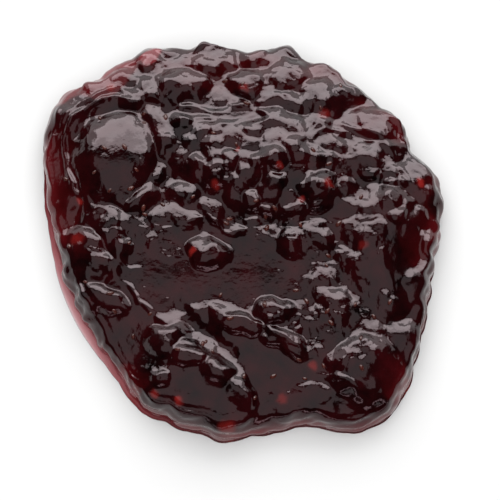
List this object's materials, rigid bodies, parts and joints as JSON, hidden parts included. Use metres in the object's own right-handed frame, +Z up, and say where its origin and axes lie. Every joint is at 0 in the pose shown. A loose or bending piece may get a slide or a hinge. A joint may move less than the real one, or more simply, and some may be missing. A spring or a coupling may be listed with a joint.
{
  "type": "spread heap of berry jam",
  "caption": "Heap of dark berry jam as spooned onto a flat surface, with a level lumpy top, rounded edges and a thin run of syrup along one side.",
  "frame": {"origin": "on the flat underside, below the middle of the heap's width and depth", "axes": "+X to the heap's right and +Y to its back as seen from the front, +Z up from the surface it lies on"},
  "size_m": [0.087, 0.088, 0.0129],
  "materials": {
    "jam": "wet, glossy, near-black red jelly that turns ruby where it is thin"
  },
  "bodies": {
    "root": {"jam": "jam"}
  },
  "joints": []
}
